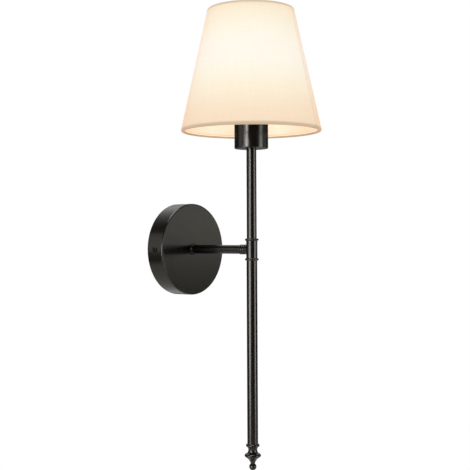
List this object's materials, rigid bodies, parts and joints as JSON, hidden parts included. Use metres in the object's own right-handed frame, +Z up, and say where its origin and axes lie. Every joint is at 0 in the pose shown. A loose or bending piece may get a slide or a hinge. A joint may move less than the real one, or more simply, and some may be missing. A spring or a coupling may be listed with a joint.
{
  "type": "rechargeable wall lamp",
  "caption": "Wall lamp with a round wall plate, a short arm, a tall turned stem with a finial, a tapered fabric shade and a rechargeable bulb whose head lifts off its base.",
  "frame": {"origin": "on the wall, at the centre of the wall plate's back, on the axis of the arm", "axes": "+Y into the wall, the lamp stands out towards -Y, +Z up along the stem, +X to the right as seen from the room"},
  "size_m": [0.1792, 0.2155, 0.5892],
  "materials": {
    "dark_bronze_metal": "satin dark bronze lacquer",
    "black_screw": "black oxide",
    "zinc_steel": "zinc plated",
    "black_phenolic": "moulded, matt",
    "brass_sleeve": "drawn, bright",
    "nickel_shell": "nickel plated",
    "black_glass_insulator": "gloss",
    "solder_tip": "tinned",
    "white_bulb_plastic": "moulded, fine matt",
    "green_circuit_board": "solder mask",
    "cell_sleeve": "shrink sleeve",
    "black_plastic": "moulded",
    "button_rubber": "moulded, matt",
    "white_aluminium_board": "white solder mask",
    "led_phosphor": "cast phosphor",
    "opal_diffuser": "opal, blown",
    "cream_fabric": "woven, plain",
    "shade_film": "translucent film",
    "white_wire": "powder coated"
  },
  "bodies": {
    "fixture": {"mounting_bracket": "zinc_steel", "wall_plate": "dark_bronze_metal", "side_screws": "black_screw", "plate_lock_washer": "zinc_steel", "plate_lock_nut": "zinc_steel", "plate_nipple": "zinc_steel", "arm_collar": "dark_bronze_metal", "arm_tube": "dark_bronze_metal", "arm_ferrule": "dark_bronze_metal", "arm_stud": "zinc_steel", "tee": "dark_bronze_metal", "tee_upper_ring": "dark_bronze_metal", "tee_lower_ring": "dark_bronze_metal", "upper_stem": "dark_bronze_metal", "lower_stem": "dark_bronze_metal", "upper_stem_nipple": "zinc_steel", "lower_stem_nipple": "zinc_steel", "finial": "dark_bronze_metal", "socket_cup": "dark_bronze_metal", "cup_lock_washer": "zinc_steel", "cup_lock_nut": "zinc_steel", "cup_nipple": "zinc_steel", "lampholder_body": "black_phenolic", "lampholder_sleeve": "brass_sleeve", "shade_ring_nut": "black_phenolic", "bulb_screw_shell": "nickel_shell", "bulb_insulator": "black_glass_insulator", "bulb_tip": "solder_tip", "bulb_dock": "white_bulb_plastic", "dock_magnet": "nickel_shell"},
    "shade": {"fitter_ring": "white_wire", "fitter_spokes": "white_wire", "shade_fabric": "cream_fabric", "shade_liner": "shade_film", "shade_top_hoop": "white_wire", "shade_bottom_hoop": "white_wire"},
    "bulb_head": {"head_housing": "white_bulb_plastic", "head_keeper_ring": "zinc_steel", "control_board": "green_circuit_board", "charge_port": "zinc_steel", "battery_cell": "cell_sleeve", "battery_tabs": "nickel_shell", "button_switch": "black_plastic", "led_board": "white_aluminium_board", "led_chips": "led_phosphor", "remote_receiver": "black_plastic", "diffuser_globe": "opal_diffuser"},
    "power_button": {"power_button": "button_rubber"}
  },
  "joints": [
    {"name": "shade_turn", "type": "hinge", "parent": "fixture", "child": "shade", "pos_m": [0, -0.126, 0.1719], "axis": [0, 0, 1], "continuous": true},
    {"name": "bulb_lift", "type": "slide", "parent": "fixture", "child": "bulb_head", "axis": [0, 0, 1], "range_m": [0, 0.13]},
    {"name": "button_press", "type": "slide", "parent": "bulb_head", "child": "power_button", "axis": [0, 1, 0], "range_m": [0, 0.0008], "stiffness_N_per_m": 400, "springref_m": -0.0004}
  ]
}
